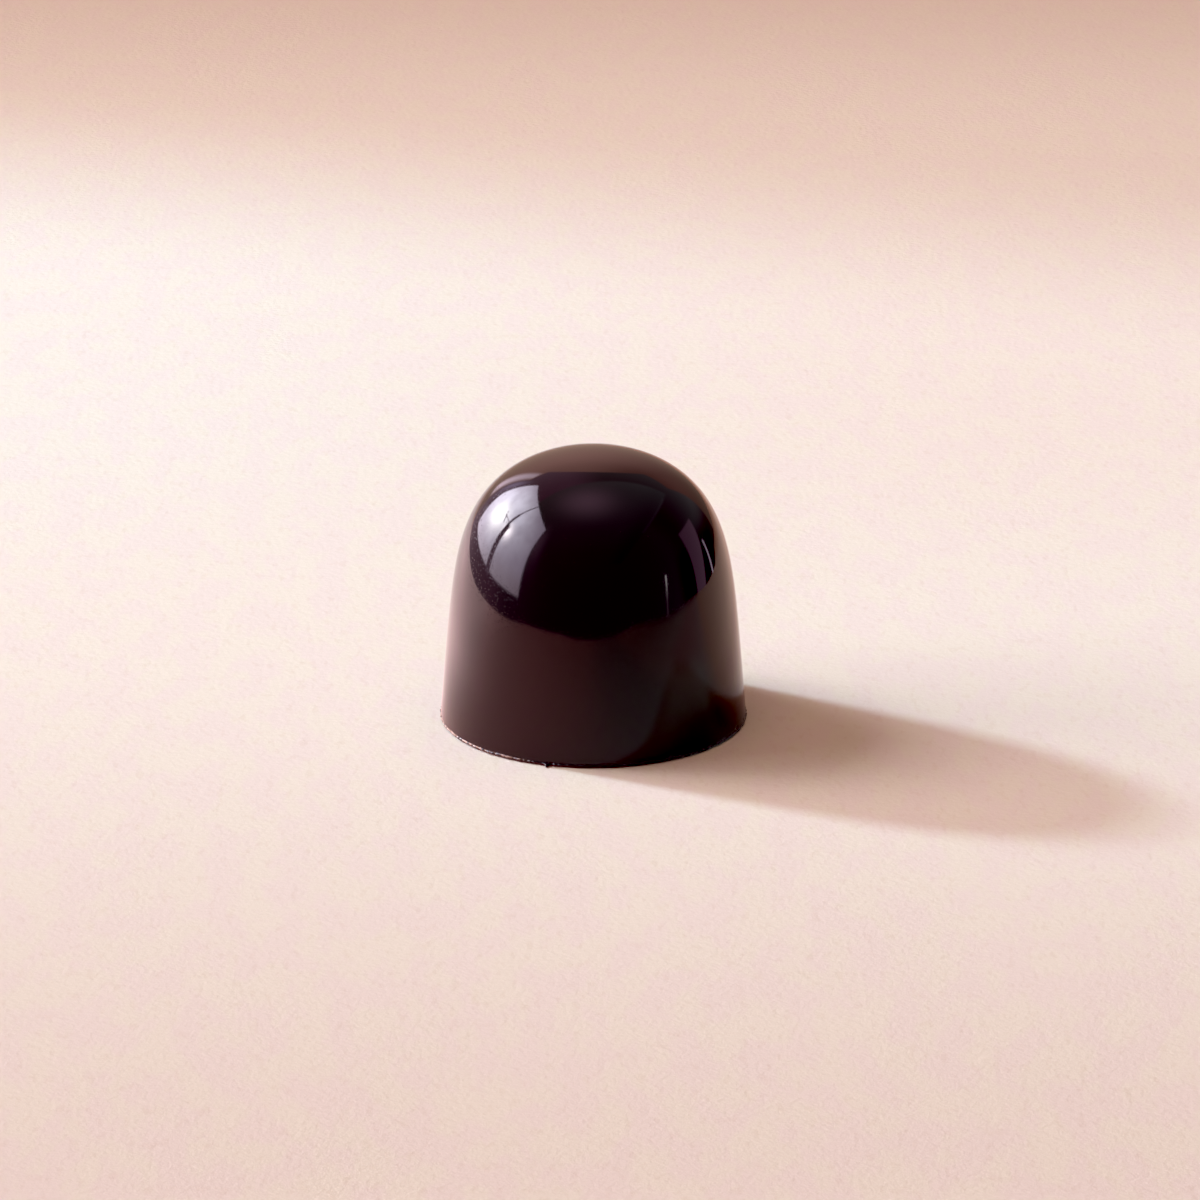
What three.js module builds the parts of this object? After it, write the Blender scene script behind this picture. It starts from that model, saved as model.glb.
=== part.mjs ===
// A moulded dark chocolate praline: a tall, smooth dome that stands on its scraped base.
// Millimetres, +Z up. The origin is the centre of the flat base face.

import * as THREE from "three";
import { mergeVertices } from "three/addons/utils/BufferGeometryUtils.js";

// Driving dimensions of the moulded body
const BASE_RADIUS = 14;
const HEIGHT = 25.3;
const WALL_DRAFT = THREE.MathUtils.degToRad(4.75); // the lean that lets the piece leave its mould
const DOME_POWER = 5.8; // the higher, the later the wall turns in to the dome

// Driving dimensions of the scraped foot
const FOOT_SET_BACK = 0.14; // the base face's edge lies this far inside the wall
const LIP_HEIGHT = 0.26; // where the thin lip stands out furthest
const LIP_PROUD = 0.05;
const LIP_TOP = 0.46; // where the lip has run out into the wall
const UNEVEN_TOP = 0.9; // chips and waves reach no higher

// How uneven the scraped foot is
const WAVE_COUNT = 9;
const WAVE_DEPTH = 0.012; // of one wave
const CHIP_COUNT = 26;
const CHIP_DEPTH = { least: 0.03, most: 0.11 };
const CHIP_WIDTH = { least: 0.8, most: 1.8 };
const CRUMB_ANGLE = THREE.MathUtils.degToRad(-107);
const CRUMB_PROUD = 0.16;
const CRUMB_WIDTH = 0.5;
const RANDOM_SEED = 7;

// How finely the surface is divided
const AROUND = 144;
const WALL_STEPS = 30;

// Looks
const CHOCOLATE = { color: 0x2a1416, roughness: 0.12, metalness: 0 };

/** A repeatable source of numbers from 0 to 1. */
function seededRandom(seed) {
  let state = seed;
  return () => {
    state = (state * 16807) % 2147483647;
    return state / 2147483647;
  };
}

/** Radius of the moulded wall and dome at a height: a leaning wall under a superelliptic top. */
function wallRadius(z) {
  const leaning = BASE_RADIUS - z * Math.tan(WALL_DRAFT);
  return leaning * Math.sqrt(Math.max(0, 1 - (z / HEIGHT) ** DOME_POWER));
}

/** The outline from the centre of the base face, round the foot and up to the crown. */
function outline() {
  const foot = [
    [0, 0],
    [BASE_RADIUS - FOOT_SET_BACK, 0],
    [BASE_RADIUS + LIP_PROUD / 2, LIP_HEIGHT / 2],
    [BASE_RADIUS + LIP_PROUD, LIP_HEIGHT],
    [wallRadius(LIP_TOP), LIP_TOP],
  ];
  const startTurn = Math.asin(UNEVEN_TOP / HEIGHT);
  const wall = [];
  for (let i = 0; i < WALL_STEPS; i++) {
    const turn = THREE.MathUtils.lerp(startTurn, Math.PI / 2, i / WALL_STEPS);
    const z = HEIGHT * Math.sin(turn);
    wall.push([wallRadius(z), z]);
  }
  const crown = [0, HEIGHT];
  return [...foot, ...wall, crown].map(([r, z]) => new THREE.Vector2(r, z));
}

/** Long low waves in the rim, as a scraper leaves them. */
function rimWaves(random) {
  return Array.from({ length: WAVE_COUNT }, (_, i) => ({
    turns: 2 + 3 * i,
    phase: random() * 2 * Math.PI,
  }));
}

/** Small chips out of the rim, at random places, widths and depths. */
function rimChips(random) {
  return Array.from({ length: CHIP_COUNT }, () => ({
    angle: random() * 2 * Math.PI,
    depth: -THREE.MathUtils.lerp(CHIP_DEPTH.least, CHIP_DEPTH.most, random()),
    width: THREE.MathUtils.lerp(CHIP_WIDTH.least, CHIP_WIDTH.most, random()),
  }));
}

/** A function of the angle that gives how far the rim stands out, or in where it is below zero. */
function rimUnevenness() {
  const random = seededRandom(RANDOM_SEED);
  const waves = rimWaves(random);
  const crumb = { angle: CRUMB_ANGLE, depth: CRUMB_PROUD, width: CRUMB_WIDTH };
  const marks = [...rimChips(random), crumb];
  return (angle) => {
    let out = 0;
    for (const { turns, phase } of waves) {
      out += WAVE_DEPTH * Math.cos(turns * angle + phase);
    }
    for (const mark of marks) {
      const away = Math.atan2(Math.sin(angle - mark.angle), Math.cos(angle - mark.angle));
      const share = (away * BASE_RADIUS) / (mark.width / 2);
      out += mark.depth * Math.exp(-share * share);
    }
    return out;
  };
}

/** Moves the points of the foot in or out by the rim's unevenness, fading up the wall. */
function roughenFoot(geometry) {
  const uneven = rimUnevenness();
  const position = geometry.getAttribute("position");
  for (let i = 0; i < position.count; i++) {
    const x = position.getX(i);
    const y = position.getY(i);
    const z = position.getZ(i);
    const radius = Math.hypot(x, y);
    if (z > UNEVEN_TOP || radius < BASE_RADIUS / 2) continue;
    const fade = 1 - z / UNEVEN_TOP;
    const grown = 1 + (uneven(Math.atan2(y, x)) * fade) / radius;
    position.setXY(i, x * grown, y * grown);
  }
  return geometry;
}

/** The whole body, turned round the vertical axis. */
function pralineGeometry() {
  const turned = new THREE.LatheGeometry(outline(), AROUND).rotateX(Math.PI / 2);
  turned.deleteAttribute("uv");
  turned.deleteAttribute("normal");
  const merged = mergeVertices(turned);
  roughenFoot(merged).computeVertexNormals();
  return merged;
}

const praline = new THREE.Mesh(pralineGeometry(), new THREE.MeshStandardMaterial(CHOCOLATE));
praline.name = "praline";

const group = new THREE.Group();
group.add(praline);

export default group;
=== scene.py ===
# A moulded dark chocolate praline, mirror smooth, on pale pink paper in warm window light.
# Metres, +Z up. The origin is the centre of the praline's base, and the camera looks along +Y.
# Azimuths are degrees seen from above: 0 is away from the camera, 90 is right and -90 is left.

import math

import bpy
import numpy as np
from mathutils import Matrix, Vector


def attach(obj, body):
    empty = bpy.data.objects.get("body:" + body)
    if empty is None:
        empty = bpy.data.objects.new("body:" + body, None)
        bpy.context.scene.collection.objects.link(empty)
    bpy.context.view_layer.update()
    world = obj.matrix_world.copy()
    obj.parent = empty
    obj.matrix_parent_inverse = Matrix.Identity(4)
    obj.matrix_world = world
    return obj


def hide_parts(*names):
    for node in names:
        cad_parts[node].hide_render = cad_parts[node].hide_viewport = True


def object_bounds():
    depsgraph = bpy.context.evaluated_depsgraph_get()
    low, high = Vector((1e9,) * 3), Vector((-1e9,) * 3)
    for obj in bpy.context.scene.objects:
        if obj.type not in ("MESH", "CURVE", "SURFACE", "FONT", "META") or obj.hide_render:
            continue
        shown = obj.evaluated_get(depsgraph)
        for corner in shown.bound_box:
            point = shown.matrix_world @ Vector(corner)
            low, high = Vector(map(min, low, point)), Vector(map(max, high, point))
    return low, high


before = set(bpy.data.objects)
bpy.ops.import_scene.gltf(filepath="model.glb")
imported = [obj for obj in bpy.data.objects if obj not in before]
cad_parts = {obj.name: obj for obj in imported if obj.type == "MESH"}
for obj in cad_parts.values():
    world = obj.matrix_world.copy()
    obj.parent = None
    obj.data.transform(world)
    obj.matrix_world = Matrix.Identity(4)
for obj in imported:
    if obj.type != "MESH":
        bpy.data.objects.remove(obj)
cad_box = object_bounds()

MM = 0.001

# The moulded body, as in the solid it stands for
BASE_RADIUS = 14 * MM
HEIGHT = cad_box[1].z
WALL_DRAFT = math.radians(4.75)
DOME_POWER = 5.8
MOULD_WAVE = 0.004 * MM  # how far the moulded skin strays from its true form
MOULD_WAVES = 10
WAVES_START = 3 * MM  # the waves grow to their full size over this height above the base
WAVES_END = 1 * MM  # and fade over this much below the crown

# The scraped foot
FOOT_SET_BACK = 0.14 * MM
LIP_HEIGHT = 0.25 * MM
LIP_PROUD = 0.06 * MM
LIP_WIDTH = 0.055 * MM
UNEVEN_TOP = 0.9 * MM
FOOT_STRAY = 0.01 * MM
CHIPS = 90
CRUMB_ANGLE = math.radians(-107)  # round the foot, from +X towards +Y
CRUMB_HEIGHT = 0.06 * MM
CRUMB_PROUD = 0.6 * MM
CRUMB_SIZE = 0.17 * MM

# Seeds of the random numbers
FOOT_SEED = 11
WALL_SEED = 23

# How finely the praline's skin is divided
AROUND = 864
FOOT_ROWS = 24
WALL_ROWS = 76
BASE_ROWS = 6

# The camera, fitted to the photo's outline of the praline
IMAGE_SIDE = 1200
SENSOR = 36 * MM
FOCAL_PIXELS = 6043.5
CAMERA_HEIGHT_ANGLE = math.radians(19.29)
CAMERA_DISTANCE = 550 * MM
AIM_HEIGHT = 12 * MM
AIM_PIXEL = (593.34, 590.51)
CAMERA_NEAREST = 10 * MM

# The set. The floor and the mirrored sheet lie a hair's breadth under the praline's base.
FLOOR_DEPTH = 0.01 * MM
SHEET_DEPTH = 0.03 * MM
FLOOR_FLAT = 1.0
FLOOR_RINGS = 4
SWEEP_RADIUS = 0.5
SWEEP_STEPS = 14
SWEEP_TOP = 1.4
SWEEP_AROUND = 96
ROOM_RADIUS = 2.2
WINDOW_AZIMUTH = -79
LIGHT_GRID = 9  # points along each side of a light where its reach is measured

# Looks of the chocolate
CHOCOLATE_DEEP = (0.0075, 0.0027, 0.0022)
CHOCOLATE_WARM = (0.0095, 0.0035, 0.0031)
CHOCOLATE_SPECK = (0.05, 0.03, 0.025)
# Pale dust on the frayed lip, put on the left only, where it also paints the lip's highlight
CHOCOLATE_LIP_DUST_AND_HIGHLIGHT = (0.5, 0.31, 0.25)
CHOCOLATE_IOR = 1.46
CHOCOLATE_ROUGHNESS = 0.05
SPECK_CELLS_PER_METRE = 800
SPECK_RISE = 0.003 * MM
DENT_CELLS_PER_METRE = 4600
DENT_DEPTH = 0.005 * MM

# Looks of the paper
PAPER = (0.87, 0.80, 0.775)
TOOTH_DEPTH = 0.06 * MM
# Painted light that the mirrored paper gives off: a sheen towards the light and a fill in the shadow
PAINTED_SHEEN_WHITE = (1.55, 0.9, 0.95)
PAINTED_SHEEN_PINK = (0.65, 0.16, 0.17)
PAINTED_SHADE_FILL = (0.13, 0.17, 0.16)

# Light of the room that the chocolate mirrors
LEAST_DEPTH = 0.05  # keeps a division by depth well away from zero
GLASS_BARE = (3.7, 2.95, 3.85)
GLASS_LOW = (3.2, 2.45, 2.9)
GLASS_FOG = (13.0, 12.2, 14.5)
GLARE_RIGHT = (26, 25, 25.5)
GLARE_LEFT = (30, 27, 29)
ARCH_LOW = (0.73, 0.49, 0.39)
ARCH_HIGH = (1.42, 0.82, 0.72)
ARCH_MIDDLE = (0.03, 0.55, 0)
ARCH_SIZE = (0.47, 0.67, 1)
CEILING_BACK = (0.55, 0.56, 0.56)
CEILING_FRONT = (0.52, 0.48, 0.50)
CEILING_RIGHT = (0.49, 0.5, 0.5)

# Looks of the picture
BLACK_POINT = (0.0185, 0.0205, 0.018)  # the photo shows everything darker than this as black


# Shape of the praline

def wall_radius(z):
    """Radius of the moulded wall and dome at a height: a leaning wall under a superelliptic top."""
    leaning = BASE_RADIUS - z * math.tan(WALL_DRAFT)
    return leaning * np.sqrt(np.clip(1 - np.clip(z / HEIGHT, 0, 1) ** DOME_POWER, 0, 1))


def ring_noise(random, angles, least, most, count):
    """Smooth unevenness round the ring, from -1 to 1 or so, with between least and most waves."""
    total = np.zeros_like(angles)
    for turns in random.integers(least, most, count):
        total += np.cos(turns * angles + random.uniform(0, 2 * math.pi))
    return total / math.sqrt(count)


def along_ring(angles, angle):
    """Distance along the rim from an angle, in metres."""
    away = angles - angle
    return np.arctan2(np.sin(away), np.cos(away)) * BASE_RADIUS


def foot_heights():
    """Heights of the rows of points in the foot, closest where the lip is."""
    below = LIP_HEIGHT * np.array([0, 0.06, 0.15, 0.28, 0.42, 0.56, 0.7, 0.8, 0.88, 0.95])
    rest = FOOT_ROWS - len(below)
    share = np.arange(rest) / (rest - 1)
    first = LIP_HEIGHT * 1.02
    return np.concatenate([below, first + (UNEVEN_TOP - first) * share**1.9])


def foot_rows(angles):
    """Radius and height of each point of the foot: a bevel under a thin lip that runs out into the wall."""
    random = np.random.default_rng(FOOT_SEED)
    lip_height = LIP_HEIGHT * (1 + 0.1 * ring_noise(random, angles, 5, 60, 8))
    proud = LIP_PROUD * np.clip(0.9 + 0.75 * ring_noise(random, angles, 20, 220, 14), 0.05, 2)
    set_back = FOOT_SET_BACK * (1 + 0.2 * ring_noise(random, angles, 3, 40, 8))
    strays = FOOT_STRAY * ring_noise(random, angles, 2, 30, 9)
    heights = foot_heights()[:, None] * np.ones_like(angles)
    under = heights < LIP_HEIGHT
    heights = np.where(under, heights * lip_height / LIP_HEIGHT, heights)
    heights = np.where(~under & (heights < lip_height), lip_height, heights)
    lip = proud * np.exp(-(((heights - lip_height) / LIP_WIDTH) ** 2))
    share = np.clip(heights / lip_height, 0, 1)
    bevel = (set_back + proud) * (1 - share) ** 1.7
    fade = 1 - np.clip(heights / UNEVEN_TOP, 0, 1)
    radii = wall_radius(heights) + np.where(under, proud - bevel, lip) + strays * fade
    radii -= chips(random, angles, heights)
    radii += crumb(angles, heights)
    return radii, heights


def chips(random, angles, heights):
    """How deep the small chips of the rim cut in."""
    cut = np.zeros_like(heights)
    for _ in range(CHIPS):
        angle = random.uniform(0, 2 * math.pi)
        width = random.uniform(0.12, 0.5) * MM
        tall = random.uniform(0.06, 0.22) * MM
        middle = random.choice([0.1, 0.25, 0.25, 0.3, 0.55]) * MM
        depth = random.uniform(0.02, 0.09) * MM
        reach = (along_ring(angles, angle) / width) ** 2 + ((heights - middle) / tall) ** 2
        cut = np.maximum(cut, depth * np.clip(1 - reach, 0, 1))
    return cut


def crumb(angles, heights):
    """A tiny crumb that stands out of the rim at its foot."""
    aside = along_ring(angles, CRUMB_ANGLE) / CRUMB_SIZE
    above = (heights - CRUMB_HEIGHT) / CRUMB_SIZE
    return CRUMB_PROUD * np.exp(-(aside**2 + above**2))


def wall_rows(angles):
    """Radius and height of each point from the foot to just under the crown."""
    start = math.asin(UNEVEN_TOP / HEIGHT)
    turn = start + (math.pi / 2 - start) * np.arange(1, WALL_ROWS) / WALL_ROWS
    heights = HEIGHT * np.sin(turn)[:, None] * np.ones_like(angles)
    random = np.random.default_rng(WALL_SEED)
    stray = np.zeros_like(heights)
    for _ in range(MOULD_WAVES):
        turns = random.integers(2, 14)
        climb = random.uniform(-0.9, 0.9) / MM
        stray += np.cos(turns * angles + climb * heights + random.uniform(0, 2 * math.pi))
    fade = np.clip(heights / WAVES_START, 0, 1) * np.clip((HEIGHT - heights) / WAVES_END, 0, 1)
    return wall_radius(heights) + MOULD_WAVE / 3 * stray * fade, heights


def skin_rows(angles):
    """All rows of the praline's skin, from the middle of the base out, up the wall and to the crown."""
    foot_radii, foot_z = foot_rows(angles)
    wall_radii, wall_z = wall_rows(angles)
    shares = (np.arange(1, BASE_ROWS + 1) / (BASE_ROWS + 1))[:, None]
    base_radii = foot_radii[0] * shares
    base_z = np.zeros_like(base_radii)
    return np.vstack([base_radii, foot_radii, wall_radii]), np.vstack([base_z, foot_z, wall_z])


def ring_steps(count):
    """The number of each point in a ring, with the number of the point after it."""
    return [(j, (j + 1) % count) for j in range(count)]


def mesh_object(name, points, faces, smooth=True):
    """A mesh object from its points and faces."""
    mesh = bpy.data.meshes.new(name)
    mesh.from_pydata(points, [], faces)
    mesh.validate()
    mesh.polygons.foreach_set("use_smooth", [smooth] * len(mesh.polygons))
    mesh.update()
    made = bpy.data.objects.new(name, mesh)
    bpy.context.scene.collection.objects.link(made)
    return made


def praline_object():
    """The praline's skin as one closed mesh. Its flat base takes the second material."""
    angles = np.arange(AROUND) * 2 * math.pi / AROUND
    radii, heights = skin_rows(angles)
    rows = len(radii)
    grid = np.stack([radii * np.cos(angles), radii * np.sin(angles), heights], -1)
    middle, crown = rows * AROUND, rows * AROUND + 1
    points = [*map(tuple, grid.reshape(-1, 3)), (0, 0, 0), (0, 0, HEIGHT)]
    steps = ring_steps(AROUND)
    faces = [(middle, k, j) for j, k in steps]
    for i in range(rows - 1):
        low, high = i * AROUND, (i + 1) * AROUND
        faces += [(low + j, low + k, high + k, high + j) for j, k in steps]
    top = (rows - 1) * AROUND
    faces += [(top + j, top + k, crown) for j, k in steps]
    made = mesh_object("praline_body", points, faces)
    made.data.materials.append(chocolate_material())
    made.data.materials.append(scraped_material())
    base_faces = AROUND * (BASE_ROWS + 1)
    in_base = [number < base_faces for number in range(len(faces))]
    made.data.polygons.foreach_set("material_index", [int(flat) for flat in in_base])
    made.data.polygons.foreach_set("use_smooth", [not flat for flat in in_base])
    return made


# Materials

class Graph:
    """A material's or world's node tree, with short calls that add nodes and join them."""

    def __init__(self, owner):
        owner.use_nodes = True
        self.tree = owner.node_tree
        self.tree.nodes.clear()

    def put(self, kind, inputs=None, **settings):
        """Adds a node. Each input is set to a value or joined to another node's output."""
        made = self.tree.nodes.new(kind)
        for key, value in settings.items():
            setattr(made, key, value)
        for key, value in (inputs or {}).items():
            if isinstance(value, bpy.types.NodeSocket):
                self.tree.links.new(value, made.inputs[key])
            else:
                made.inputs[key].default_value = value
        return made

    def math(self, operation, *values):
        inputs = dict(enumerate(values))
        return self.put("ShaderNodeMath", inputs, operation=operation).outputs[0]

    def times(self, *values):
        """The product of two or more values."""
        product = values[0]
        for value in values[1:]:
            product = self.math("MULTIPLY", product, value)
        return product

    def dot(self, vector, along):
        return self.vector("DOT_PRODUCT", vector, along).outputs["Value"]

    def step(self, value, start, end, low=0.0, high=1.0):
        """Goes smoothly from low to high as value goes from start to end."""
        inputs = {0: value, 1: start, 2: end, 3: low, 4: high}
        return self.put("ShaderNodeMapRange", inputs, interpolation_type="SMOOTHSTEP").outputs[0]

    def between(self, value, low, high, soft):
        """1 where value lies between low and high, with soft edges, and 0 elsewhere."""
        rise = self.step(value, low - soft, low + soft)
        fall = self.step(value, high - soft, high + soft, 1.0, 0.0)
        return self.times(rise, fall)

    def mix(self, share, under, over, kind="MIX"):
        """Mixes two colours."""
        inputs = {0: share, 6: colour(under), 7: colour(over)}
        made = self.put("ShaderNodeMix", inputs, data_type="RGBA", blend_type=kind)
        return made.outputs[2]

    def tinted(self, share, tone, factors):
        """Multiplies a colour, channel by channel, as far as share says."""
        return self.mix(share, tone, self.mix(1.0, tone, factors, "MULTIPLY"))

    def some(self, share, tint):
        """A share of a colour, over black."""
        return self.mix(share, (0, 0, 0), tint)

    def noise(self, where, scale, detail=2.0, roughness=0.5):
        inputs = {"Vector": where, "Scale": scale, "Detail": detail, "Roughness": roughness}
        return self.put("ShaderNodeTexNoise", inputs).outputs[0]

    def axis(self, vector, name):
        return self.put("ShaderNodeSeparateXYZ", {0: vector}).outputs[name]

    def vector(self, operation, *values):
        return self.put("ShaderNodeVectorMath", dict(enumerate(values)), operation=operation)

    def stretched(self, place, scale, rotation=(0, 0, 0)):
        inputs = {"Vector": place, "Scale": scale, "Rotation": rotation}
        return self.put("ShaderNodeMapping", inputs).outputs[0]

    def cells(self, place, scale):
        """Distance to the middle of each of many small cells, and a random number for the cell."""
        made = self.put("ShaderNodeTexVoronoi", {"Vector": place, "Scale": scale})
        return made.outputs["Distance"], self.first(made.outputs["Color"])

    def first(self, tint):
        """The first channel of a colour."""
        return self.put("ShaderNodeSeparateColor", {0: tint}).outputs[0]

    def grey(self, value):
        return self.put("ShaderNodeCombineColor", {0: value, 1: value, 2: value}).outputs[0]

    def object_place(self):
        return self.put("ShaderNodeTexCoord").outputs["Object"]

    def bump(self, height, distance, onto=None):
        inputs = {"Height": height, "Distance": distance}
        if onto is not None:
            inputs["Normal"] = onto
        return self.put("ShaderNodeBump", inputs).outputs[0]


def colour(value):
    """A colour as a node socket takes it. A socket stays as it is."""
    return value if isinstance(value, bpy.types.NodeSocket) else (*value, 1.0)


def material_graph(name):
    material = bpy.data.materials.new(name)
    return material, Graph(material)


def finish_surface(graph, inputs):
    """Ends a material in one glossy or matt surface."""
    surface = graph.put("ShaderNodeBsdfPrincipled", inputs)
    graph.put("ShaderNodeOutputMaterial", {"Surface": surface.outputs[0]})


def chocolate_material():
    """Tempered dark chocolate off a polished mould: nearly black, mirror smooth, with faint dust, and pale
    dust on the lip's left side that also paints the lip's highlight.
    """
    material, graph = material_graph("dark_chocolate_gloss")
    place = graph.object_place()
    height = graph.axis(place, "Z")
    speck = chocolate_specks(graph, place)
    lip_dust_and_highlight = lip_dust_and_painted_highlight(graph, place, height)

    cloud = graph.step(graph.noise(place, 160, 3), 0.35, 0.65)
    tone = graph.mix(cloud, CHOCOLATE_DEEP, CHOCOLATE_WARM)
    tone = graph.mix(graph.times(speck, 0.5), tone, CHOCOLATE_SPECK)
    # Pale dust on the lip's left side, which also paints the lip's highlight
    tone = graph.mix(lip_dust_and_highlight, tone, CHOCOLATE_LIP_DUST_AND_HIGHLIGHT)

    smudge = graph.step(graph.noise(place, 110, 4, 0.6), 0.45, 0.75)
    wiped = graph.stretched(place, (500, 500, 80), (0, 0.6, 0))
    wipe = graph.step(graph.noise(wiped, 1.0, 3), 0.6, 0.75)
    rim = graph.between(height, 0.45 * MM, 1.3 * MM, 0.2 * MM)
    roughness = graph.math("MULTIPLY_ADD", smudge, 0.025, CHOCOLATE_ROUGHNESS)
    roughness = graph.math("MULTIPLY_ADD", graph.times(wipe, smudge), 0.07, roughness)
    for share, rougher in ((rim, 0.07), (speck, 0.2), (lip_dust_and_highlight, 0.35)):
        roughness = graph.math("MULTIPLY_ADD", share, rougher, roughness)

    skin = graph.bump(mould_dents(graph, place), -DENT_DEPTH)
    skin = graph.bump(speck, SPECK_RISE, skin)
    finish_surface(graph, {
        "Base Color": tone,
        "Roughness": roughness,
        "IOR": CHOCOLATE_IOR,
        "Normal": skin,
    })
    return material


def chocolate_specks(graph, place):
    """1 on a few tiny specks of dust."""
    distance, chance = graph.cells(place, SPECK_CELLS_PER_METRE)
    return graph.times(graph.step(distance, 0.05, 0.03), graph.step(chance, 0.86, 0.9))


def lip_dust_and_painted_highlight(graph, place, height):
    """How much of the thin lip is frayed and dusty, only on the left, where its pale colour also paints the
    lip's highlight.
    """
    lip = graph.between(height, 0.16 * MM, 0.36 * MM, 0.04 * MM)
    left = graph.step(graph.dot(place, (-0.97, -0.25, 0)), 8 * MM, 11.5 * MM)
    frayed_and_highlit = graph.times(graph.step(graph.noise(place, 1500, 3), 0.38, 0.56), left)
    return graph.times(lip, frayed_and_highlit)


def mould_dents(graph, place):
    """Tiny dents that the mould left, in patches and most of them on the left."""
    distance, chance = graph.cells(place, DENT_CELLS_PER_METRE)
    dent = graph.times(graph.step(distance, 0.36, 0.05), graph.step(chance, 0.1, 0.5))
    left = graph.step(graph.axis(place, "X"), -5 * MM, -11 * MM)
    patchy = graph.step(graph.noise(place, 160, 2), 0.42, 0.6)
    depth = graph.math("MULTIPLY_ADD", graph.times(left, patchy), 0.85, 0.15)
    return graph.times(dent, depth)


def scraped_material():
    """The flat base, scraped while it set: matt, with fine straight drag lines."""
    material, graph = material_graph("dark_chocolate_scraped")
    place = graph.object_place()
    lines = graph.noise(graph.stretched(place, (120, 2600, 1)), 1.0, 4, 0.6)
    cloud = graph.noise(place, 300, 4)
    tone = graph.mix(cloud, (0.011, 0.004, 0.003), (0.022, 0.009, 0.006))
    skin = graph.bump(lines, 0.02 * MM)
    skin = graph.bump(graph.noise(place, 1500, 3), 0.01 * MM, skin)
    finish_surface(graph, {
        "Base Color": tone,
        "Roughness": graph.step(cloud, 0.2, 0.8, 0.34, 0.52),
        "IOR": CHOCOLATE_IOR,
        "Normal": skin,
    })
    return material


def scaled(tint, factors):
    return tuple(c * f for c, f in zip(tint, factors))


def paper_tone_with_painted_shade(graph, place):
    """The paper's colour by place, with painted light and shade: whiter to the left and warmer to the right
    at the back, a painted soft shadow lying aslant, darker far back and close in front, and darker far out
    on the left. Blotches and flecks go over it.
    """
    x, y = (graph.axis(place, name) for name in "XY")
    # Painted light: whiter at the back left and warmer at the back right
    far_left, far_right = scaled(PAPER, (0.995, 1.035, 1.055)), scaled(PAPER, (0.985, 0.955, 0.945))
    side = graph.mix(graph.step(x, -0.06, 0.05), far_left, far_right)
    tone = graph.mix(graph.step(y, 0.02, 0.09), PAPER, side)
    # Painted shade: a soft shadow aslant, darker far back and close in front, and darker far out on the
    # left
    aslant = graph.math("MULTIPLY_ADD", x, 0.27, y)
    tone = graph.mix(graph.step(aslant, 0.125, 0.215), tone, scaled(PAPER, (0.80, 0.68, 0.61)))
    tone = graph.tinted(graph.step(y, 0.19, 0.31), tone, (0.76, 0.68, 0.64))
    tone = graph.tinted(graph.step(y, 0.04, -0.12), tone, (0.86, 0.77, 0.735))
    tone = graph.tinted(graph.step(x, -0.1, -1.6), tone, (0.3, 0.3, 0.31))
    return mottled(graph, place, tone)


def mottled(graph, place, tone):
    """Paper colour with yellowish and pinkish blotches and small darker flecks."""
    along = graph.stretched(place, (1.0, 0.4, 1.0))
    blotch = graph.step(graph.noise(along, 330, 4), 0.4, 0.6)
    tone = graph.mix(1.0, tone, graph.mix(blotch, (1.0, 1.01, 0.972), (1.0, 0.974, 0.99)), "MULTIPLY")
    fleck = graph.step(graph.noise(along, 1200, 2), 0.55, 0.7, 0.0, 0.8)
    return graph.tinted(fleck, tone, (0.965, 0.945, 0.93))


def lobe(graph, place, azimuth, power):
    """1 for places that lie towards an azimuth, less to either side of it."""
    a = math.radians(azimuth)
    aim = graph.vector("NORMALIZE", place).outputs[0]
    share = graph.math("MULTIPLY_ADD", graph.dot(aim, (math.sin(a), math.cos(a), 0)), 0.5, 0.5)
    return graph.math("POWER", graph.math("MAXIMUM", share, 0.0), power)


def painted_sheen_and_fill(graph, place, x, y):
    """Painted light that the mirrored paper gives off: a painted sheen towards the light and a painted fill
    in the shadow.
    """
    far = graph.vector("LENGTH", place).outputs["Value"]
    white = graph.times(lobe(graph, place, -66, 16), graph.step(far, 0.014, 0.04, 0.2, 1.0))
    white = graph.times(white, graph.step(far, 0.05, 0.11, 0.98, 1.8))
    pink = graph.times(lobe(graph, place, -110, 3), graph.step(y, 0.012, -0.012, 0.35, 1.15))
    aslant = graph.math("MULTIPLY_ADD", x, 0.45, y)
    in_shade = graph.times(
        graph.between(x, 0.006, 0.047, 0.008),
        graph.between(aslant, -0.015, 0.012, 0.007),
        graph.step(y, -0.003, -0.008),
    )
    light = graph.mix(1.0, graph.some(white, PAINTED_SHEEN_WHITE), graph.some(pink, PAINTED_SHEEN_PINK), "ADD")
    return graph.mix(1.0, light, graph.some(in_shade, PAINTED_SHADE_FILL), "ADD")


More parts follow.
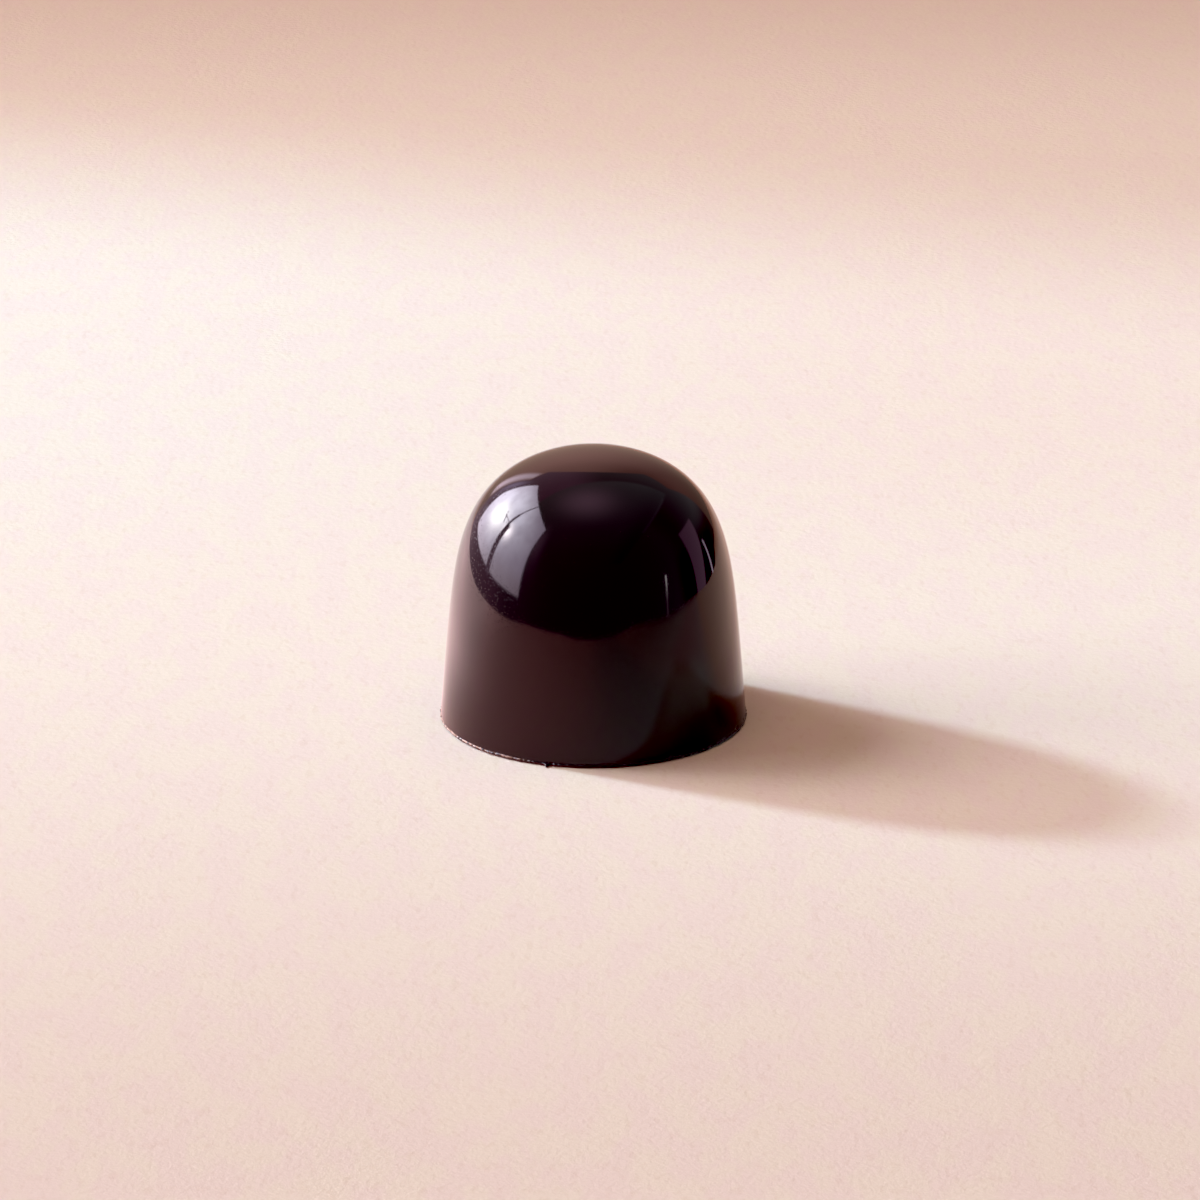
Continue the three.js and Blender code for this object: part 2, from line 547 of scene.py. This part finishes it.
def mirrored_tone_with_painted_light(graph, x, y, tone):
    """The paper's colour as the chocolate mirrors it, with painted light and shade patch by patch round the
    praline.
    """
    back = graph.step(y, -0.008, 0.004)
    front = graph.math("SUBTRACT", 1.0, back)
    right_back = graph.times(graph.step(x, 0.006, 0.03), back)
    right_front = graph.times(graph.between(x, 0.0, 0.038, 0.012), front)
    far_right_front = graph.times(graph.step(x, 0.04, 0.06), graph.between(y, -0.034, -0.002, 0.012))
    far_right_back = graph.times(graph.step(x, 0.028, 0.042), back)
    # Painted shade next to the praline's right foot
    foot_right_painted_shade = graph.times(graph.between(x, 0.008, 0.024, 0.006), graph.between(y, -0.01, 0.004, 0.005))
    far_back = graph.step(y, 0.06, 0.12)
    near_camera = graph.step(y, -0.02, -0.09)
    # Painted light and shade, patch by patch: warmer at the right back and far right front, cooler at the
    # right front, lighter far right at the back, and darker by the right foot, far back and near the camera
    patches = (
        (right_back, (1.06, 0.82, 0.75)),
        (right_front, (0.83, 0.97, 0.98)),
        (far_right_front, (1.0, 0.87, 0.89)),
        (far_right_back, (1.16, 1.18, 1.14)),
        (foot_right_painted_shade, (0.78, 0.8, 0.88)),
        (far_back, (0.94, 0.93, 0.95)),
        (near_camera, (0.84, 0.93, 0.93)),
    )
    for share, factors in patches:
        tone = graph.tinted(share, tone, factors)
    return tone


def paper_material(mirrored=False):
    """Pale pink paper with a faint tooth and painted shade. The mirrored kind has a painted sheen and
    painted light and shade, and fades out on the right.
    """
    material, graph = material_graph("paper_mirrored" if mirrored else "paper")
    place = graph.object_place()
    tone = paper_tone_with_painted_shade(graph, place)
    inputs = {"Roughness": 0.85, "Specular IOR Level": 0.2}
    inputs["Normal"] = graph.bump(graph.noise(place, 1500, 3, 0.6), TOOTH_DEPTH)
    if mirrored:
        x, y = (graph.axis(place, name) for name in "XY")
        tone = mirrored_tone_with_painted_light(graph, x, y, tone)
        # The mirrored paper gives off painted light: a sheen towards the light and a fill in the shadow
        inputs["Emission Color"] = painted_sheen_and_fill(graph, place, x, y)
        inputs["Emission Strength"] = 1.0
        inputs["Alpha"] = graph.step(graph.dot(place, (0.866, -0.5, 0)), 0.12, 0.24, 1.0, 0.0)
    inputs["Base Color"] = tone
    finish_surface(graph, inputs)
    return material


def facing(graph, direction, azimuth):
    """Where a direction meets an upright plane at one metre: across it, up it, and 1 if in front of it."""
    a = math.radians(azimuth)
    depth = graph.dot(direction, (math.sin(a), math.cos(a), 0))
    front = graph.step(depth, 0.1, 0.15)
    depth = graph.math("MAXIMUM", depth, LEAST_DEPTH)
    across = graph.math("DIVIDE", graph.dot(direction, (math.cos(a), -math.sin(a), 0)), depth)
    up = graph.math("DIVIDE", graph.dot(direction, (0, 0, 1)), depth)
    return across, up, front


def overhead(graph, direction):
    """Where a direction meets a level plane one metre up: its x, its y, and 1 if it points up."""
    depth = graph.dot(direction, (0, 0, 1))
    front = graph.step(depth, 0.2, 0.3)
    depth = graph.math("MAXIMUM", depth, LEAST_DEPTH)
    across = graph.math("DIVIDE", graph.dot(direction, (1, 0, 0)), depth)
    along = graph.math("DIVIDE", graph.dot(direction, (0, 1, 0)), depth)
    return across, along, front


def panel(graph, plane, light, across, up, soft, tint, lean=0.0):
    """Lays a soft-edged panel of light over what is already there. It may lean as it goes up."""
    x, y, front = plane
    upright = graph.math("MULTIPLY_ADD", y, -lean, x)
    share = graph.times(graph.between(upright, *across, soft), graph.between(y, *up, soft), front)
    return graph.mix(share, light, tint)


def glow(graph, plane, middle, width, height=None):
    """A glow in a plane: 1 in the middle, fading with distance."""
    across, up, front = plane
    x = graph.math("DIVIDE", graph.math("SUBTRACT", across, middle[0]), width)
    y = graph.math("DIVIDE", graph.math("SUBTRACT", up, middle[1]), height or width)
    squares = graph.math("MULTIPLY_ADD", x, x, graph.times(y, y))
    spread = graph.math("EXPONENT", graph.times(squares, -1.0))
    return graph.times(spread, front)


def lit_window(graph, direction, light):
    """The big lit window on the left: two panes with a bar between, and hazy sun in them."""
    plane = facing(graph, direction, WINDOW_AZIMUTH)
    light = graph.mix(glow(graph, plane, (1.0, 0.75), 0.09, 0.3), light, (1.7, 1.35, 1.9))
    light = graph.mix(glow(graph, plane, (-0.9, 0.95), 0.22, 0.5), light, (1.0, 0.74, 0.88))
    light = graph.mix(window_opening(graph, plane), light, window_glass(graph, direction, plane))
    return window_bars(graph, plane, light)


def window_opening(graph, plane):
    """1 inside the window's frame: above its rising sill, below its top and between its leaning sides."""
    across, up, front = plane
    sill = graph.math("MULTIPLY_ADD", graph.math("MAXIMUM", across, -0.2), 0.075, 0.03)
    right = graph.math("MINIMUM", graph.math("MULTIPLY_ADD", up, 0.27, 0.72), 0.86)
    left = graph.math("MULTIPLY_ADD", graph.math("MINIMUM", up, 1.0), -0.07, -0.755)
    return graph.times(
        graph.step(graph.math("SUBTRACT", up, sill), -0.012, 0.012),
        graph.step(up, 1.43, 1.39),
        graph.step(graph.math("SUBTRACT", right, across), -0.03, 0.03),
        graph.step(graph.math("SUBTRACT", across, left), -0.02, 0.02),
        front,
    )


def window_glass(graph, direction, plane):
    """Light of the glass: hazy, duller near the sill, with two bright spots of glare."""
    haze = graph.step(graph.noise(direction, 5.0, 3, 0.55), 0.3, 0.7, 0.72, 1.12)
    fog = graph.times(glow(graph, plane, (0.28, 0.76), 0.75, 0.55), haze)
    glass = graph.mix(graph.step(plane[1], 0.3, 0.05), GLASS_BARE, GLASS_LOW)
    glass = graph.mix(fog, glass, GLASS_FOG)
    glass = graph.mix(glow(graph, plane, (0.34, 0.49), 0.21, 0.17), glass, GLARE_RIGHT)
    return graph.mix(glow(graph, plane, (-0.06, 0.5), 0.11), glass, GLARE_LEFT)


def window_bars(graph, plane, light):
    """The bar between the panes, its knob and handle, and a slanting twig."""
    light = panel(graph, plane, light, (-0.05, 0.043), (0.0, 0.56), 0.012, (1.1, 0.8, 1.0))
    light = panel(graph, plane, light, (0.0, 0.03), (0.52, 1.45), 0.012, (1.2, 0.9, 1.2), lean=0.02)
    light = panel(graph, plane, light, (-0.008, 0.04), (0.56, 0.85), 0.02, (1.3, 1.0, 1.3), lean=0.02)
    light = graph.mix(glow(graph, plane, (0.0, 0.56), 0.055, 0.034), light, (0.6, 0.5, 0.6))
    light = panel(graph, plane, light, (0.04, 0.25), (0.585, 0.605), 0.01, (5.0, 4.2, 5.0))
    return panel(graph, plane, light, (-0.333, -0.307), (0.5, 0.65), 0.01, (2.4, 2.0, 2.4), lean=0.9)


def backdrop(graph, direction, light):
    """The pale arch behind the set and the lower wall beside it."""
    plane = facing(graph, direction, 0)
    across, up, front = plane
    warm = graph.mix(graph.step(up, 0.0, 0.72), ARCH_LOW, ARCH_HIGH)
    dim = graph.step(across, -0.15, 0.5, 1.0, 0.5)
    warm = graph.mix(1.0, warm, graph.grey(dim), "MULTIPLY")
    light = panel(graph, plane, light, (-0.6, 0.83), (-0.5, 0.87), 0.03, warm)
    arch = graph.put("ShaderNodeCombineXYZ", {0: across, 1: up, 2: 0.0}).outputs[0]
    arch = graph.vector("SUBTRACT", arch, ARCH_MIDDLE).outputs[0]
    arch = graph.vector("DIVIDE", arch, ARCH_SIZE).outputs[0]
    arch = graph.vector("LENGTH", arch).outputs["Value"]
    share = graph.times(graph.step(arch, 0.96, 1.04, 1.0, 0.0), front)
    light = graph.mix(share, light, warm)
    return panel(graph, plane, light, (-0.565, -0.45), (0.16, 0.84), 0.045, (3.3, 2.5, 2.9))


def ceiling(graph, direction, light):
    """The dim ceiling with a pinkish glow right above the praline."""
    plane = overhead(graph, direction)
    across, along, front = plane
    tint = graph.mix(graph.step(along, 0.0, -1.5), CEILING_BACK, CEILING_FRONT)
    tint = graph.mix(graph.step(across, 0.4, 0.8), tint, CEILING_RIGHT)
    light = panel(graph, (along, across, front), light, (-2.2, 0.49), (-1.4, 0.91), 0.04, tint, lean=0.36)
    light = graph.mix(glow(graph, plane, (-0.07, 0.02), 0.29), light, (1.4, 1.0, 1.2))
    return panel(graph, plane, light, (0.87, 0.91), (-0.5, 0.6), 0.02, (0.57, 0.56, 0.58))


def right_wall(graph, direction, light):
    """The far window and the thin strips of light on the right."""
    plane = facing(graph, direction, 90)
    across, up, front = plane
    far_window = graph.times(
        graph.step(graph.math("MULTIPLY_ADD", up, 0.42, across), -0.345, -0.305),
        graph.step(across, -0.055, -0.085),
        graph.step(up, 0.48, 0.45),
        front,
    )
    light = graph.mix(far_window, light, (0.92, 0.62, 0.77))
    light = panel(graph, plane, light, (-0.542, -0.5), (-0.16, 0.16), 0.012, (2.6, 2.1, 2.6), lean=0.19)
    fading = graph.mix(graph.step(up, -0.02, 0.2), (1.0, 0.8, 0.85), (6.5, 6.0, 6.0))
    return panel(graph, plane, light, (0.503, 0.53), (-0.1, 0.19), 0.008, fading, lean=-0.2)


def room_material():
    """The dim room that the chocolate mirrors, as light by direction."""
    material, graph = material_graph("room_light")
    direction = graph.vector("NORMALIZE", graph.object_place()).outputs[0]
    x, y, z = (graph.axis(direction, name) for name in "XYZ")
    light = graph.mix(graph.step(z, 0.05, 0.35), (0.16, 0.1, 0.105), (0.42, 0.4, 0.4))
    light = graph.mix(graph.step(x, 0.1, -0.2), light, (0.75, 0.52, 0.62))
    light = graph.mix(graph.step(y, 0.1, -0.3), light, (0.52, 0.48, 0.50))
    light = ceiling(graph, direction, light)
    light = backdrop(graph, direction, light)
    light = right_wall(graph, direction, light)
    light = lit_window(graph, direction, light)
    shining = graph.put("ShaderNodeEmission", {"Color": light})
    graph.put("ShaderNodeOutputMaterial", {"Surface": shining.outputs[0]})
    material.cycles.emission_sampling = "NONE"
    return material


# The set

def seen_by(thing, camera=False, mirror=False):
    """Sets who sees a piece of the set. None of it throws a shadow or lights anything else."""
    thing.visible_camera = camera
    thing.visible_glossy = mirror
    thing.visible_diffuse = False
    thing.visible_transmission = False
    thing.visible_volume_scatter = False
    thing.visible_shadow = False


def sweep_object(paper):
    """The floor as the camera sees it: flat paper that curves up far out into a plain wall."""
    profile = [(FLOOR_FLAT * (i / FLOOR_RINGS) ** 2, 0.0) for i in range(1, FLOOR_RINGS + 1)]
    for i in range(1, SWEEP_STEPS + 1):
        turn = math.pi / 2 * i / SWEEP_STEPS
        profile.append((FLOOR_FLAT + SWEEP_RADIUS * math.sin(turn), SWEEP_RADIUS * (1 - math.cos(turn))))
    profile.append((FLOOR_FLAT + SWEEP_RADIUS, SWEEP_TOP))
    points = [(0, 0, -FLOOR_DEPTH)]
    for r, z in profile:
        for j in range(SWEEP_AROUND):
            a = 2 * math.pi * j / SWEEP_AROUND
            points.append((r * math.cos(a), r * math.sin(a), z - FLOOR_DEPTH))
    steps = ring_steps(SWEEP_AROUND)
    faces = [(0, 1 + j, 1 + k) for j, k in steps]
    for i in range(len(profile) - 1):
        low, high = 1 + i * SWEEP_AROUND, 1 + (i + 1) * SWEEP_AROUND
        faces += [(low + j, high + j, high + k, low + k) for j, k in steps]
    made = mesh_object("paper_sweep", points, faces)
    made.data.materials.append(paper)
    seen_by(made, camera=True)


def sheet_object(paper):
    """The sheet of paper as the chocolate mirrors it: it ends close by at the sides and in front."""
    edge_mm = [(-60, -127), (40, -132), (110, -170), (240, -150), (260, -60), (165, 40), (155, 95),
               (380, 320), (520, 900), (-420, 900), (-228, 389), (-148, 110), (-126, 45),
               (-121, -20), (-112, -88)]
    points = [(x * MM, y * MM, -SHEET_DEPTH) for x, y in edge_mm]
    made = mesh_object("paper_sheet", points, [tuple(range(len(points)))], smooth=False)
    made.data.materials.append(paper)
    seen_by(made, mirror=True)


def room_object():
    """The room round the set, which only the chocolate mirrors."""
    bpy.ops.mesh.primitive_ico_sphere_add(subdivisions=4, radius=ROOM_RADIUS)
    made = bpy.context.object
    made.name = "room"
    made.data.materials.append(room_material())
    seen_by(made, mirror=True)


def soft_light(name, azimuth, height, distance, size, tint, strength):
    """A soft light aimed at the praline. Strength is the light it lays on the floor at the origin."""
    a, e = math.radians(azimuth), math.radians(height)
    towards = Vector((math.sin(a) * math.cos(e), math.cos(a) * math.cos(e), math.sin(e)))
    light = bpy.data.lights.new(name, "AREA")
    light.shape = "RECTANGLE"
    light.size, light.size_y = size
    light.color = tint
    side = towards.cross((0, 0, 1)).normalized() if height < 90 else Vector((1, 0, 0))
    shares = (np.arange(LIGHT_GRID) - LIGHT_GRID // 2) / LIGHT_GRID
    reach = 0
    for u in shares * size[0]:
        for v in shares * size[1]:
            spot = towards * distance + side * u + towards.cross(side) * v
            reach += spot.normalized().dot(towards) * spot.normalized().z / spot.length_squared
    light.energy = strength * math.pi**2 * LIGHT_GRID**2 / reach
    made = bpy.data.objects.new(name, light)
    made.location = towards * distance
    made.rotation_euler = towards.to_track_quat("Z", "Y").to_euler()
    made.visible_camera = False
    made.visible_glossy = False
    bpy.context.scene.collection.objects.link(made)


def light_set():
    """A small light low on the left, a broad one above it, a wide one beside it, and one overhead."""
    soft_light("low_sun", azimuth=-61, height=25.7, distance=4.0, size=(0.34, 0.34),
               tint=(0.612, 0.886, 1.0), strength=0.395)
    soft_light("broad", azimuth=-69, height=44, distance=4.0, size=(1.57, 1.4),
               tint=(1.0, 0.891, 0.87), strength=0.341)
    soft_light("low_side", azimuth=-90, height=20, distance=4.0, size=(2.3, 1.41),
               tint=(1.0, 0.998, 0.926), strength=0.115)
    soft_light("overhead", azimuth=0, height=90, distance=3.0, size=(3.1, 3.1),
               tint=(1.0, 0.67, 0.507), strength=0.334)
    world = bpy.data.worlds.new("fill")
    bpy.context.scene.world = world
    graph = Graph(world)
    fill = graph.put("ShaderNodeBackground", {"Color": colour((1.0, 0.67, 0.5)), "Strength": 0.06})
    graph.put("ShaderNodeOutputWorld", {"Surface": fill.outputs[0]})


def camera_set():
    """The camera at the photo's viewing angle, set so that the praline sits where the photo has it."""
    forward = Vector((0, math.cos(CAMERA_HEIGHT_ANGLE), -math.sin(CAMERA_HEIGHT_ANGLE)))
    right = Vector((1, 0, 0))
    up = right.cross(forward)
    per_pixel = CAMERA_DISTANCE / FOCAL_PIXELS
    middle = Vector((0, 0, AIM_HEIGHT))
    middle += right * (IMAGE_SIDE / 2 - AIM_PIXEL[0]) * per_pixel
    middle -= up * (IMAGE_SIDE / 2 - AIM_PIXEL[1]) * per_pixel
    camera = bpy.data.cameras.new("camera")
    camera.sensor_width = SENSOR / MM
    camera.lens = FOCAL_PIXELS / IMAGE_SIDE * SENSOR / MM
    camera.clip_start = CAMERA_NEAREST
    made = bpy.data.objects.new("camera", camera)
    made.location = middle - forward * CAMERA_DISTANCE
    made.rotation_euler = forward.to_track_quat("-Z", "Y").to_euler()
    bpy.context.scene.collection.objects.link(made)
    bpy.context.scene.camera = made


def tone_set():
    """Shows light as it is, but with the photo's deep blacks."""
    view = bpy.context.scene.view_settings
    view.view_transform = "Standard"
    view.use_curve_mapping = True
    view.curve_mapping.black_level = BLACK_POINT
    view.curve_mapping.update()


camera_set()
tone_set()
praline = praline_object()
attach(praline, "root")
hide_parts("praline")

sweep_object(paper_material())
sheet_object(paper_material(mirrored=True))
room_object()
light_set()
